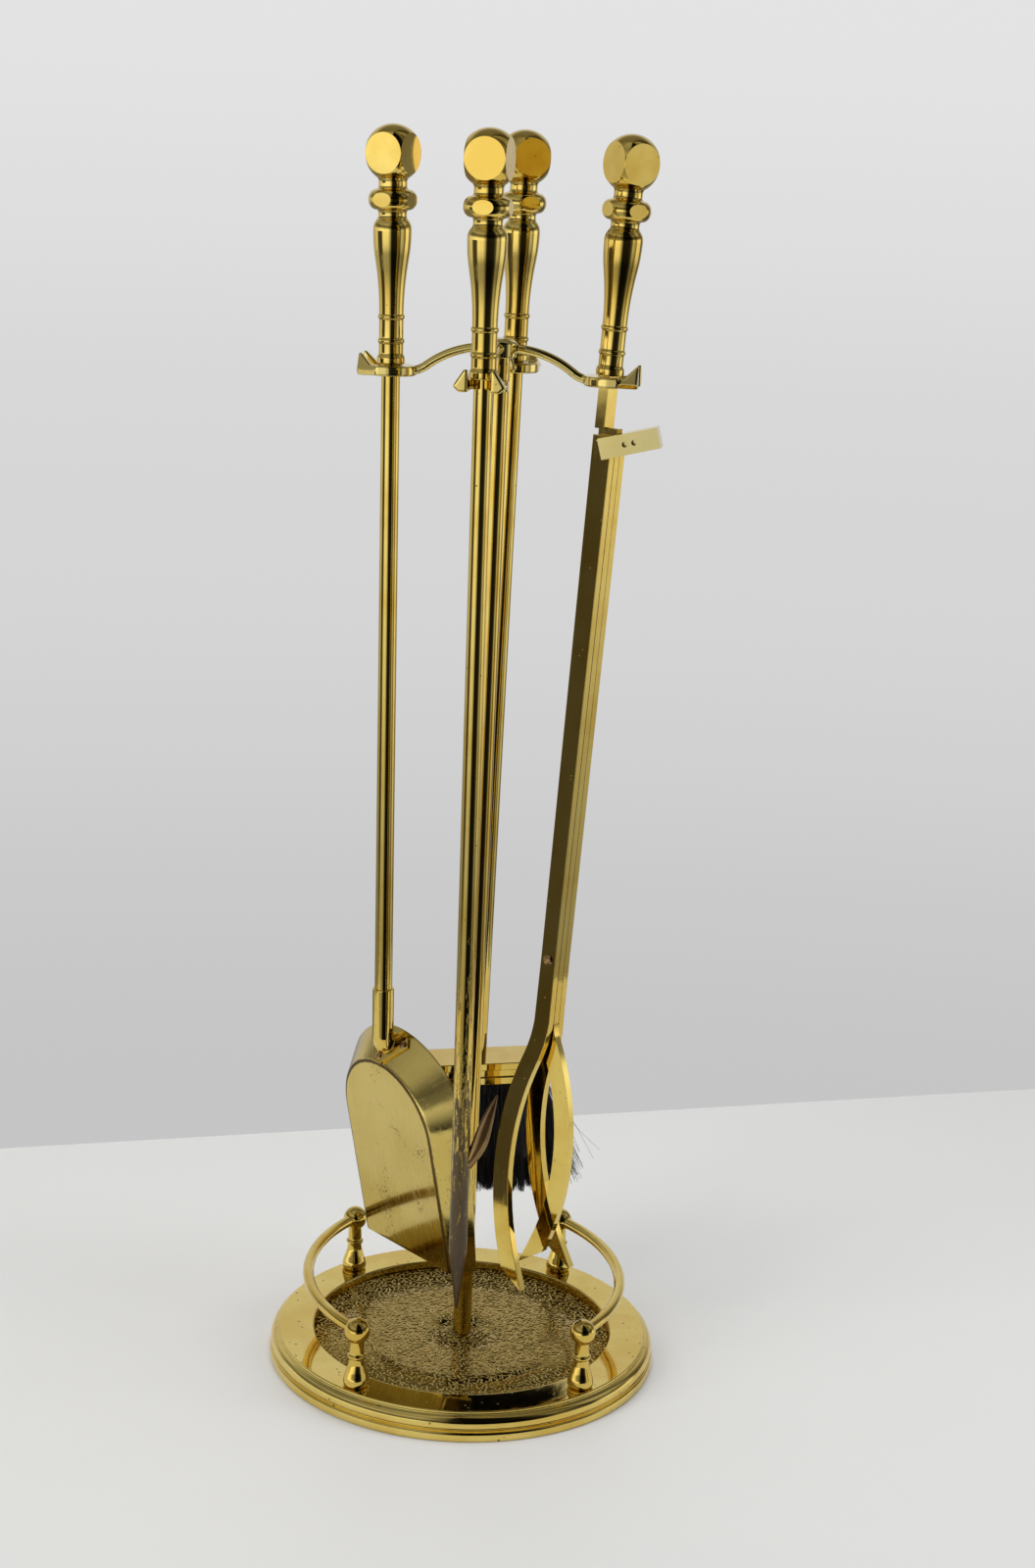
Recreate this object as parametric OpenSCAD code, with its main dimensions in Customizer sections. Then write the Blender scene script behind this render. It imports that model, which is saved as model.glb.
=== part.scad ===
// Fireplace tool set: shovel, poker, brush and tongs hanging from a four-armed stand.
// Millimetres, +Z up, front towards -Y, origin on the floor under the middle of the base.

/* [Base] */
// Radius of the base moulding where it meets the floor
base_r = 122.4; // [110:0.2:140]
// Height of the flat rim of the base
rim_z = 17.5; // [14:0.5:24]
// Radius of the flat rim, inside the moulding
rim_r = 116.4; // [106:0.2:118]
// Radius of the sunk panel in the middle
panel_r = 94.5; // [80:0.5:98]
// Height of the panel's upper face
panel_z = 12.9; // [11:0.1:15]
// Thickness of the hammered panel
panel_t = 1.5; // [1:0.1:2.5]
// Height of the hollow under the base
hollow_z = 8.4; // [6:0.1:9]
// Radius of the hollow under the base
hollow_r = 108; // [60:1:110]

/* [Gallery] */
// Half the distance between left and right posts
post_x = 68.5; // [60:0.5:75]
// Half the distance between front and rear posts
post_y = 83; // [70:0.5:86]
// Height of the centre of each post's ball
post_ball_z = 53.2; // [45:0.2:60]
// Radius of each post's ball
post_ball_r = 7.8; // [6:0.1:9]
// How far out the middle of each rail stands from the stand's axis
rail_x = 99; // [90:0.5:104]
// Radius of the rail's round bar
rail_bar_r = 3.5; // [2.5:0.1:4.5]

/* [Column and hooks] */
// Radius of the column
column_r = 5.8; // [5:0.1:8]
// Height of the underside of the hanging collars
hang_z = 624.5; // [560:1:700]
// Distance of each hanging tool from the column's axis
hang_r = 64.5; // [58:0.5:80]
// Turn of the four arms against the base, in degrees
bracket_turn = -11.6; // [-45:0.1:45]
// Rise of the arms from the forks to the hub
arm_rise = 16; // [12:0.5:20]
// Radius of the arms' round bar
arm_r = 2.7; // [2:0.1:3]
// Width of the slot in each fork
slot_w = 13; // [13:0.1:14]
// Half of a fork's width over both prongs
fork_half = 14.8; // [14:0.1:17]
// Thickness of a fork's flat
fork_t = 6; // [5:0.1:8]
// Height of a prong's turned-up end
tip_h = 12.8; // [10:0.1:14]
// Gap between a hanging collar and its fork
hang_gap = 0.3; // [0.2:0.05:0.5]

/* [Handles] */
// Height of the ball's centre above the collar's underside
ball_z = 120.1; // [100:0.1:130]
// Radius of the ball
ball_r = 16.6; // [12:0.1:18]
// Distance of the ball's four flats from its centre
ball_flat = 11.8; // [9:0.1:13]
// Radius of the flattened knop under the ball
knop_r = 14.2; // [10:0.1:15]
// Radius of the grip at its shoulder
grip_r = 11.3; // [9:0.1:12]
// Radius of the hanging collar
collar_r = 8.2; // [8:0.1:10]
// Radius of the round shafts
shaft_r = 5.5; // [4:0.1:6]
// Radius of the stud that screws into a handle
stud_r = 3.2; // [2.5:0.1:4]
// Length of the stud
stud_h = 24; // [16:1:30]

/* [Shovel] */
// Lean of the hanging shovel, in degrees
shovel_lean = -1; // [-3:0.1:3]
// Direction that the width of the pan points, in degrees
shovel_yaw = -54.3; // [-90:0.1:90]
// Length of the shaft from the collar to the socket
shovel_shaft_l = 385.5; // [330:0.5:420]
// Half the width of the pan's floor
pan_half = 44; // [35:0.5:50]
// Length of the pan's floor from its rounded end to its lip
pan_l = 137; // [110:1:150]
// Height of the wall round the closed end
pan_wall_h = 20; // [14:0.5:24]
// Height of the side walls at the lip
pan_lip_h = 13; // [8:0.5:14]
// How far the wall leans outwards over its height
pan_flare = 17; // [8:0.5:18]
// Thickness of the sheet
pan_t = 1.3; // [1:0.1:2]
// Tilt of the pan's floor away from the shaft, in degrees
pan_tilt = 11; // [5:0.5:20]

/* [Poker] */
// Lean of the hanging poker, in degrees
poker_lean = -0.5; // [-3:0.1:3]
// Length from the collar to the point
poker_l = 565.5; // [500:0.5:575]
// Length of the tapered point
point_l = 37; // [20:1:60]
// Distance of the barb's root above the point
barb_z = 96; // [80:1:140]

/* [Brush] */
// Lean of the hanging brush, in degrees
brush_lean = 0.7; // [-3:0.1:3]
// Direction that the head's length points, in degrees
brush_yaw = 11; // [-30:1:30]
// Length from the collar to the top of the head
brush_shaft_l = 448; // [380:0.5:470]
// Length of the head
head_l = 100; // [80:1:110]
// Width of the head
head_w = 31; // [24:1:40]
// Height of the head's brass cap
head_h = 15; // [10:0.5:20]
// Length of the bristles below the cap
bristle_h = 79; // [50:1:90]
// How far the bristles spread past each end of the head
bristle_flare = 7; // [4:1:20]

/* [Tongs] */
// Lean of the hanging tongs, in degrees
tongs_lean = 3.1; // [-4:0.1:4]
// Direction that the width of the arms points, in degrees
tongs_yaw = -41.2; // [-60:0.1:0]
// Thickness of each arm
arm_t = 4.9; // [3:0.1:6]
// Width of the arms at the thumb block
arm_w_top = 13.4; // [9:0.1:15]
// Width of the arms at the rivet
arm_w_low = 10.8; // [8:0.1:12]
// Width of the claws
claw_w = 11.4; // [9:0.1:12]
// Distance of the rivet below the collar
pivot_z = 354.5; // [300:0.5:400]
// Distance of the start of the claws below the collar
claw_z = 394.5; // [380:0.5:420]
// Outward lean of the two outer claws, in degrees
claw_splay = 7; // [0:0.5:10]
// How far the arms stand to one side of the handle's axis
arm_shift = 4.6; // [0:0.1:6]

/* [Hidden] */
$fn = 64;
eps = 0.01;

fork_top_z = hang_z - hang_gap;
fork_z = fork_top_z - fork_t;
hub_z = fork_z + fork_t / 2 + arm_rise;
hub_r = 9.5;
hub_h = 11;
column_stud_r = 4;
column_stud_end = 1.2;
screw_r = 2.5;
post_bolt_r = 2;
right_arm = bracket_turn;
back_arm = bracket_turn + 90;
left_arm = bracket_turn + 180;
front_arm = bracket_turn + 270;
// Turn of the flats on the handles of shovel, poker, brush and tongs, in degrees
handle_turn = [-31.2, -17.4, 18, 25.8];

// ---------------------------------------------------------------- shared shapes

// Puts a tool's own frame at its fork: origin at the middle of the collar's underside.
module hanging(arm, lean, yaw) {
    translate([hang_r * cos(arm), hang_r * sin(arm), hang_z])
        rotate([0, lean, 0])
            rotate([0, 0, yaw])
                children();
}

// Turned profile of a handle from its collar up to the neck under the ball.
module handle_profile() {
    ring_r = grip_r - 3.4;
    waist_r = grip_r - 4.1;
    neck_r = grip_r - 3;
    polygon([
        [0, 0], [collar_r - 0.5, 0], [collar_r, 0.5], [collar_r, 4.3], [collar_r - 0.9, 5.5],
        [waist_r, 6], [waist_r, 12.2], [ring_r, 12.8], [ring_r, 14.2], [waist_r, 14.8],
        [waist_r, 26], [ring_r, 26.8], [ring_r, 28.2], [waist_r, 29],
        [waist_r + 0.1, 35], [waist_r + 0.4, 41], [waist_r + 0.9, 47], [waist_r + 1.6, 53],
        [waist_r + 2.5, 59], [waist_r + 3.4, 65], [waist_r + 3.9, 71], [grip_r, 77], [grip_r - 0.4, 80],
        [grip_r - 1.6, 82], [neck_r, 83.6], [neck_r, 87.6],
        [knop_r - 4.4, 88.4], [knop_r - 1.8, 89.6], [knop_r - 0.5, 91.2], [knop_r, 93.2], [knop_r, 94.8],
        [knop_r - 0.5, 96.8], [knop_r - 1.8, 98.4], [knop_r - 4.4, 99.6], [neck_r, 100.4], [neck_r, 106.5],
        [0, 106.5]
    ]);
}

// Handle with a faceted ball, bored for the shaft's stud.
module handle() {
    difference() {
        union() {
            intersection() {
                rotate_extrude() handle_profile();
                union() {
                    translate([-ball_r, -ball_r, 0])
                        cube([2 * ball_r, 2 * ball_r, 86]);
                    translate([-knop_r + 1.3, -knop_r + 1.3, 85])
                        cube([2 * knop_r - 2.6, 2 * knop_r - 2.6, 25]);
                }
            }
            intersection() {
                translate([0, 0, ball_z])
                    sphere(ball_r, $fn = 96);
                translate([-ball_flat, -ball_flat, ball_z - ball_r])
                    cube([2 * ball_flat, 2 * ball_flat, 2 * ball_r]);
            }
        }
        translate([0, 0, -eps])
            cylinder(stud_h + eps, r = stud_r);
    }
}

// Round shaft hanging down from the collar, with the stud that screws into the handle.
module round_shaft(length) {
    translate([0, 0, -length])
        cylinder(length, r = shaft_r);
    cylinder(stud_h, r = stud_r);
}

// ---------------------------------------------------------------- stand

module base_profile() {
    polygon([
        [0, 0], [base_r - 0.6, 0], [base_r, 0.8], [base_r, 4.8], [base_r - 0.7, 5.8],
        [base_r - 2.4, 6.4], [base_r - 2.4, 7.4], [base_r - 1.1, 8.2], [base_r - 0.6, 9.8],
        [base_r - 0.7, 11.6], [base_r - 1.5, 13.4], [base_r - 3, 14.8], [base_r - 4.6, 15.4],
        [base_r - 4.6, 16], [rim_r + 0.6, 16.2], [rim_r + 0.6, rim_z - 0.3], [rim_r, rim_z], [0, rim_z]
    ]);
}

module base_plate() {
    color("darkgoldenrod")
        difference() {
            rotate_extrude($fn = 180) base_profile();
            translate([0, 0, panel_z - panel_t])
                cylinder(rim_z, r = panel_r, $fn = 180);
            translate([0, 0, -eps])
                cylinder(hollow_z + eps, r = hollow_r, $fn = 180);
            cylinder(rim_z, r = column_stud_r);
            for (x = [-post_x, post_x], y = [-post_y, post_y])
                translate([x, y, -eps]) {
                    cylinder(rim_z + 1, r = post_bolt_r);
                    cylinder(hollow_z + eps, r = 2 * post_bolt_r + 0.5);
                }
        }
}

module base_panel() {
    color("goldenrod")
        translate([0, 0, panel_z - panel_t])
            difference() {
                cylinder(panel_t, r = panel_r, $fn = 180);
                translate([0, 0, -eps])
                    cylinder(panel_t + 1, r = column_stud_r);
            }
}

module column() {
    color("gold") {
        translate([0, 0, panel_z])
            cylinder(hub_z - hub_h / 2 - panel_z, r = column_r);
        translate([0, 0, column_stud_end])
            cylinder(panel_z - column_stud_end + 1, r = column_stud_r);
        difference() {
            translate([0, 0, hub_z - hub_h / 2 - 1])
                cylinder(hub_h - 3, r = column_stud_r);
            translate([0, 0, hub_z - hub_h / 2 - 8])
                cylinder(hub_h + 8, r = screw_r);
        }
    }
}

module column_washer() {
    color("silver")
        translate([0, 0, hollow_z - 1.6])
            difference() {
                cylinder(1.6, r = 12);
                translate([0, 0, -eps])
                    cylinder(2, r = column_stud_r);
            }
}

module column_nut() {
    color("silver")
        translate([0, 0, hollow_z - 6.6])
            difference() {
                cylinder(5, r = 7.5, $fn = 6);
                translate([0, 0, -eps])
                    cylinder(6, r = column_stud_r);
            }
}

// One fork in its own frame: tool axis at the origin, slot open towards +X.
module fork() {
    tip_in = collar_r + 1.2;
    tip_out = tip_in + tip_h - fork_t + 1.5;
    difference() {
        intersection() {
            linear_extrude(tip_h)
                difference() {
                    union() {
                        circle(fork_half);
                        translate([0, -fork_half])
                            square([tip_out, 2 * fork_half]);
                    }
                    circle(slot_w / 2);
                    translate([0, -slot_w / 2])
                        square([tip_out + 1, slot_w]);
                }
            translate([0, fork_half + 1, 0])
                rotate([90, 0, 0])
                    linear_extrude(2 * fork_half + 2)
                        polygon([
                            [-fork_half - 1, 0], [tip_out + 1, 0], [tip_out + 1, tip_h + 1],
                            [tip_in + tip_h + 1 - fork_t, tip_h + 1], [tip_in, fork_t], [-fork_half - 1, fork_t]
                        ]);
        }
        for (side = [0, 1])
            mirror([0, side, 0])
                translate([tip_in - 3, 0, 0])
                    rotate([90, 0, 90])
                        linear_extrude(tip_out)
                            prong_bevels();
    }
}

// What is cut off the outer corners of a prong's end, seen along the prong.
module prong_bevels() {
    polygon([[fork_half, 3.2], [slot_w / 2 + 2.2, tip_h], [slot_w / 2 + 2.2, tip_h + 1], [fork_half + 1, tip_h + 1]]);
    polygon([[fork_half, 3.2], [fork_half + 1, -1], [fork_half - 4.2, -1]]);
}

// S-shaped arm from the hub out to the root of a fork, in the XZ plane, hub axis at the origin.
module bracket_arm() {
    slope = 38;
    bends = arm_rise / (1 - cos(slope));
    bend_low = 0.23 * bends;
    bend_top = bends - bend_low;
    end_x = hang_r - slot_w / 2 - 4;
    translate([end_x - bends * sin(slope), 0, -bend_top])
        rotate([90, 0, 0])
            rotate([0, 0, 90 - slope])
                rotate_extrude(angle = slope, $fn = 96)
                    translate([bend_top, 0])
                        circle(arm_r, $fn = 24);
    translate([end_x, 0, bend_low - arm_rise])
        rotate([90, 0, 0])
            rotate([0, 0, 270 - slope])
                rotate_extrude(angle = slope, $fn = 96)
                    translate([bend_low, 0])
                        circle(arm_r, $fn = 24);
    translate([end_x - bend_low * sin(slope), 0, -bend_top * (1 - cos(slope))])
        sphere(arm_r + 0.1, $fn = 32);
}

module hook_bracket() {
    color("darkgoldenrod")
        difference() {
            union() {
                translate([0, 0, hub_z - hub_h / 2]) {
                    cylinder(hub_h - 2, r = hub_r);
                    translate([0, 0, hub_h - 2])
                        cylinder(2, r1 = hub_r, r2 = hub_r - 3);
                }
                for (arm = [right_arm, back_arm, left_arm, front_arm])
                    rotate([0, 0, arm]) {
                        translate([0, 0, hub_z])
                            bracket_arm();
                        translate([hang_r, 0, fork_z])
                            fork();
                    }
            }
            translate([0, 0, hub_z - hub_h])
                cylinder(hub_h * 1.5 - 4, r = column_stud_r);
            translate([0, 0, hub_z])
                cylinder(hub_h, r = screw_r);
            translate([0, 0, hub_z + hub_h / 2 - 2.5])
                cylinder(2.5 + eps, r1 = screw_r, r2 = screw_r + 2.5);
        }
}

module bracket_screw() {
    color("silver")
        translate([0, 0, hub_z + hub_h / 2 - 2.5])
            difference() {
                union() {
                    cylinder(2.5, r1 = screw_r, r2 = screw_r + 2.5);
                    translate([0, 0, -10])
                        cylinder(10 + eps, r = screw_r);
                }
                translate([-screw_r - 3, -0.6, 1.5])
                    cube([2 * screw_r + 6, 1.2, 2]);
            }
}

// One gallery post: bell foot, thin neck with a ring, ball on top.
module post(x, y) {
    height = post_ball_z - rim_z;
    color("gold")
        translate([x, y, rim_z])
            difference() {
                union() {
                    rotate_extrude()
                        polygon([
                            [0, 0], [6.6, 0], [7.8, 1], [8.1, 3], [7.6, 5.6], [6.3, 9.6], [5, 14],
                            [4.5, 17.2], [4.7, 18.2], [5.7, 18.8], [5.7, 20.2], [4.7, 20.8],
                            [4.5, 22], [4.5, 28], [0, 28]
                        ]);
                    translate([0, 0, height])
                        sphere(post_ball_r);
                }
                translate([0, 0, -eps])
                    cylinder(14, r = post_bolt_r);
            }
}

module post_front_left() {
    post(-post_x, -post_y);
}

module post_front_right() {
    post(post_x, -post_y);
}

module post_rear_left() {
    post(-post_x, post_y);
}

module post_rear_right() {
    post(post_x, post_y);
}

module post_screws() {
    color("silver")
        for (x = [-post_x, post_x], y = [-post_y, post_y])
            translate([x, y, hollow_z - 2.2]) {
                cylinder(rim_z - hollow_z + 14, r = post_bolt_r);
                cylinder(2.2, r = 2 * post_bolt_r);
            }
}

// Curved rail on the +X side, running from ball to ball.
module rail() {
    bulge = rail_x - post_x;
    radius = (post_y * post_y + bulge * bulge) / (2 * bulge);
    half_angle = asin(post_y / radius);
    color("gold")
        difference() {
            translate([rail_x - radius, 0, post_ball_z])
                rotate([0, 0, -half_angle])
                    rotate_extrude(angle = 2 * half_angle, $fn = 180)
                        translate([radius, 0])
                            circle(rail_bar_r, $fn = 48);
            for (y = [-post_y, post_y])
                translate([post_x, y, post_ball_z])
                    sphere(post_ball_r - 0.4);
        }
}

module rail_right() {
    rail();
}

module rail_left() {
    mirror([1, 0, 0]) rail();
}

// ---------------------------------------------------------------- shovel

elbow_turn = 51;
elbow_r = 10;
socket_l = 31;
socket_r = 6.7;
socket_grip = 16;
flange_t = 2;
rivet_r = 1.5;
rivet_head = 2.7;
pan_drop = 477.5;
pan_back = 4.2;
wall_slope = atan(pan_flare / pan_wall_h);
// Rivets of the flange: angle round the closed end, and height up the wall from its middle.
flange_rivets = [[-13.5, 5], [13.5, 5], [0, -9]];

// Frame of the pan: origin at the centre of its rounded end on the outer face of the floor,
// +Y towards the closed end, +Z into the pan.
module pan_frame() {
    translate([0, pan_back, -pan_drop])
        rotate([90 + pan_tilt, 0, 0])
            mirror([0, 0, 1])
                children();
}

// Frame on the outside of the sloping wall: +Z away from the wall, +Y up its slope.
module wall_frame() {
    translate([0, pan_half + pan_flare / 2, pan_wall_h / 2])
        rotate([90 - wall_slope, 0, 0])
            mirror([0, 0, 1])
                children();
}

// Solid pan grown by `grow` on its outside, with its wall up to `top`.
module pan_body(grow, top, length = pan_l) {
    low_r = pan_half + grow / cos(wall_slope) - tan(wall_slope) * grow;
    top_r = pan_half + grow / cos(wall_slope) + tan(wall_slope) * top;
    rotate_extrude(angle = 180, $fn = 180)
        polygon([[0, -grow], [low_r, -grow], [top_r, top], [0, top]]);
    rotate([90, 0, 0])
        linear_extrude(length)
            polygon([[-low_r, -grow], [low_r, -grow], [top_r, top], [-top_r, top]]);
}

// What is cut away where the side walls fall towards the lip.
module pan_wall_fall() {
    fall = atan((pan_wall_h - pan_lip_h) / (pan_l - pan_half));
    translate([-2 * pan_half, 0, pan_wall_h])
        rotate([fall, 0, 0])
            translate([0, -2 * pan_l, 0])
                cube([4 * pan_half, 2 * pan_l, pan_wall_h]);
}

module at_flange_rivets() {
    for (p = flange_rivets)
        rotate([0, 0, p[0]])
            wall_frame()
                translate([0, p[1], 0])
                    children();
}

module rivet_shanks() {
    at_flange_rivets()
        translate([0, 0, -2 * pan_t])
            cylinder(2 * pan_t + flange_t + eps, r = rivet_r);
}

module shovel_handle() {
    color("gold") hanging(left_arm, shovel_lean, handle_turn[0]) handle();
}

module shovel_shaft() {
    color("gold") hanging(left_arm, shovel_lean, 0) round_shaft(shovel_shaft_l + socket_grip);
}

module shovel_pan() {
    color("khaki")
        hanging(left_arm, shovel_lean, shovel_yaw)
            pan_frame()
                difference() {
                    pan_body(0, pan_wall_h, pan_l - pan_half);
                    pan_body(-pan_t, pan_wall_h + 1);
                    pan_wall_fall();
                    rivet_shanks();
                }
}

// Ferrule, bent neck and three-cornered flange in one casting.
module shovel_socket() {
    bend_z = -shovel_shaft_l - socket_l;
    color("gold")
        hanging(left_arm, shovel_lean, shovel_yaw)
            difference() {
                union() {
                    translate([0, 0, bend_z])
                        cylinder(socket_l, r = socket_r);
                    translate([0, elbow_r, bend_z])
                        rotate([90, 0, 90])
                            rotate([0, 0, 180])
                                rotate_extrude(angle = elbow_turn, $fn = 96)
                                    translate([elbow_r, 0])
                                        circle(socket_r, $fn = 48);
                    pan_frame()
                        intersection() {
                            pan_body(flange_t, pan_wall_h);
                            wall_frame()
                                linear_extrude(12, center = true)
                                    polygon([[-17, 4], [-14, 9], [14, 9], [17, 4], [4, -13], [-4, -13]]);
                        }
                }
                pan_frame() {
                    pan_body(0, pan_wall_h + 1);
                    rivet_shanks();
                }
                translate([0, 0, -shovel_shaft_l - socket_grip])
                    cylinder(2 * socket_grip, r = shaft_r);
            }
}

module shovel_rivets() {
    color("peru")
        hanging(left_arm, shovel_lean, shovel_yaw)
            pan_frame() {
                rivet_shanks();
                at_flange_rivets()
                    translate([0, 0, flange_t])
                        rivet_dome(rivet_head);
            }
}

// Low dome on the XY plane.
module rivet_dome(r) {
    height = 0.5 * r;
    ball = (r * r + height * height) / (2 * height);
    intersection() {
        translate([0, 0, height - ball])
            sphere(ball);
        cylinder(height, r = r);
    }
}

// ---------------------------------------------------------------- poker

module poker_handle() {
    color("gold") hanging(front_arm, poker_lean, handle_turn[1]) handle();
}

module poker_shaft() {
    color("gold")
        hanging(front_arm, poker_lean, 0) {
            round_shaft(poker_l - point_l);
            translate([0, 0, -poker_l])
                cylinder(point_l + eps, r1 = 0.8, r2 = shaft_r);
        }
}

module poker_barb() {
    root_z = barb_z - poker_l;
    color("gold")
        hanging(front_arm, poker_lean, 0)
            difference() {
                translate([0, 3.5, root_z])
                    rotate([90, 0, 0])
                        linear_extrude(7)
                            polygon([
                                [2, -7], [6, -5], [11, 3], [16, 14], [19.5, 27], [21, 43],
                                [15, 32], [10, 21], [6, 13], [2, 9]
                            ]);
                translate([0, 0, root_z - 20])
                    cylinder(60, r = shaft_r);
            }
}

// ---------------------------------------------------------------- brush

module rounded_plate(length, width, height, r) {
    linear_extrude(height) {
        square([length - 2 * r, width], center = true);
        square([length, width - 2 * r], center = true);
        for (x = [r - length / 2, length / 2 - r], y = [r - width / 2, width / 2 - r])
            translate([x, y])
                circle(r);
    }
}

module brush_handle() {
    color("gold") hanging(back_arm, brush_lean, handle_turn[2]) handle();
}

module brush_shaft() {
    color("gold")
        hanging(back_arm, brush_lean, 0) {
            round_shaft(brush_shaft_l);
            translate([0, 0, -brush_shaft_l - head_h + 2])
                cylinder(head_h, r = stud_r);
        }
}

module brush_cap() {
    wall = 1.5;
    color("darkgoldenrod")
        hanging(back_arm, brush_lean, brush_yaw)
            translate([0, 0, -brush_shaft_l - head_h])
                difference() {
                    union() {
                        rounded_plate(head_l - 2, head_w - 2, 5, 2);
                        rounded_plate(head_l - 4, head_w - 4, head_h - 1, 2);
                        translate([0, 0, head_h - 5])
                            rounded_plate(head_l, head_w, 5, 2);
                    }
                    translate([0, 0, -eps])
                        rounded_plate(head_l - 4 - 2 * wall, head_w - 4 - 2 * wall, head_h - wall, 1);
                    cylinder(2 * head_h, r = stud_r);
                }
}

module brush_block() {
    wall = 1.5;
    color("sienna")
        hanging(back_arm, brush_lean, brush_yaw)
            translate([0, 0, -brush_shaft_l - head_h])
                difference() {
                    rounded_plate(head_l - 4 - 2 * wall, head_w - 4 - 2 * wall, head_h - wall, 1);
                    translate([0, 0, 2])
                        cylinder(head_h, r = stud_r);
                }
}

module brush_bristles() {
    top_l = head_l / 2 - 4;
    low_l = head_l / 2 + bristle_flare;
    top_w = head_w / 2 - 4;
    low_w = head_w / 2 + 1;
    color("dimgray")
        hanging(back_arm, brush_lean, brush_yaw)
            translate([0, 0, -brush_shaft_l - head_h])
                intersection() {
                    translate([0, low_w, 0])
                        rotate([90, 0, 0])
                            linear_extrude(2 * low_w)
                                polygon([[-top_l, 0], [top_l, 0], [low_l, -bristle_h], [-low_l, -bristle_h]]);
                    translate([-low_l, 0, 0])
                        rotate([90, 0, 90])
                            linear_extrude(2 * low_l)
                                polygon([[-top_w, 0], [top_w, 0], [low_w, -bristle_h], [-low_w, -bristle_h]]);
                }
}

// ---------------------------------------------------------------- tongs

neck_w = 6.8;
neck_t = 9.8;
neck_l = 30.5;
side_gap = 0.3;
outer_y = arm_t + side_gap;
arm_top = 34;
pivot_r = 2.3;
pivot_run = 0.05;
tip_l = 17;
block_turn = 29;
block_rise = 17.4;
block_size = [35.5, 14, 12.3];
block_left = 4.6;
block_front = 10.5;
block_drop = 40.5;
// Width of the point of each claw, and the number of steps along each of its arcs
tip_wide = 0.6;
claw_steps = 16;

// Half the width of an arm at a depth below the collar, between the block and the rivet.
function arm_half(drop) =
    (arm_w_top + (arm_w_low - arm_w_top) * (drop - neck_l) / (pivot_z - neck_l)) / 2;

// Points along an arc, without its first one.
function arc_points(centre, r, a0, a1) = [
    for (i = [1:claw_steps])
        let (a = a0 + (a1 - a0) * i / claw_steps)
            centre + r * [cos(a), sin(a)]
];

// Outline of a claw that starts at the end of the blade: two arcs side by side, then the point.
function claw_outline(start, r1, middle, r2, turn, curl) = concat(
    arc_points(start - [r1, 0], r1 + claw_w / 2, 0, -turn),
    arc_points(middle, r2 - claw_w / 2, 180 - turn, 180 + curl),
    [
        for (wide = [0, tip_wide])
            middle - (r2 - claw_w / 2 + wide) * [cos(curl), sin(curl)] + tip_l * [sin(curl), -cos(curl)]
    ],
    [middle - (r2 + claw_w / 2) * [cos(curl), sin(curl)]],
    arc_points(middle, r2 + claw_w / 2, 180 + curl, 180 - turn),
    arc_points(start - [r1, 0], r1 - claw_w / 2, -turn, 0)
);

// Flat arm from `top` below the collar. Its claw bows out to -X by `reach`, then curls back to a point.
module arm(top, thick, reach, r1, r2, length) {
    turn = acos(1 - reach / (r1 + r2));
    drop = (r1 + r2) * sin(turn);
    curl = asin((length - 0.9 * tip_l - drop) / r2);
    translate([0, thick / 2, 0])
        rotate([90, 0, 0])
            linear_extrude(thick)
                polygon(concat(
                    [
                        [-arm_w_low / 2, -pivot_z],
                        [-arm_half(top), -top], [arm_half(top), -top],
                        [arm_w_low / 2, -pivot_z], [claw_w / 2, -claw_z]
                    ],
                    claw_outline([0, -claw_z], r1, [r2 - reach, -claw_z - drop], r2, turn, curl)
                ));
}

module pivot_hole(r) {
    translate([0, 2 * outer_y, -pivot_z])
        rotate([90, 0, 0])
            cylinder(4 * outer_y, r = r);
}

// Frame of the arms: the tongs' own frame, moved to the side.
module arm_frame() {
    hanging(right_arm, tongs_lean, tongs_yaw)
        translate([arm_shift, 0, 0])
            children();
}

module tongs_handle() {
    color("gold") hanging(right_arm, tongs_lean, handle_turn[3]) handle();
}

module tongs_fixed_arm() {
    color("gold")
        hanging(right_arm, tongs_lean, tongs_yaw)
            difference() {
                union() {
                    cylinder(stud_h, r = stud_r);
                    translate([-neck_w / 2, -neck_t / 2, -neck_l])
                        cube([neck_w, neck_t, neck_l]);
                    translate([arm_shift, 0, 0])
                        mirror([1, 0, 0])
                            arm(neck_l - 1, arm_t, 21, 29.5, 161.5, 163);
                }
                translate([arm_shift, 0, 0])
                    pivot_hole(pivot_r);
            }
}

// Outer arm on the -Y side; its claw leans outwards.
module outer_arm() {
    claw_l = 169.7;
    end = claw_z + claw_l + claw_w;
    lean_out = (end - claw_z) * tan(claw_splay);
    mitre = arm_t / 2 * tan(claw_splay / 2);
    difference() {
        intersection() {
            arm(arm_top, 8 * outer_y + 2 * lean_out, 12, 80, 172, claw_l);
            translate([-claw_z / 2, -outer_y, 0])
                rotate([90, 0, 90])
                    linear_extrude(claw_z)
                        polygon([
                            [arm_t / 2, 0], [-arm_t / 2, 0],
                            [-arm_t / 2, mitre - claw_z], [-arm_t / 2 - lean_out - mitre * tan(claw_splay), -end],
                            [arm_t / 2 - lean_out + mitre * tan(claw_splay), -end], [arm_t / 2, -claw_z - mitre]
                        ]);
        }
        pivot_hole(pivot_r + pivot_run);
    }
}

module tongs_front_arm() {
    color("gold")
        arm_frame()
            outer_arm();
}

module tongs_rear_arm() {
    color("gold")
        arm_frame()
            mirror([0, 1, 0])
                outer_arm();
}

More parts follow.
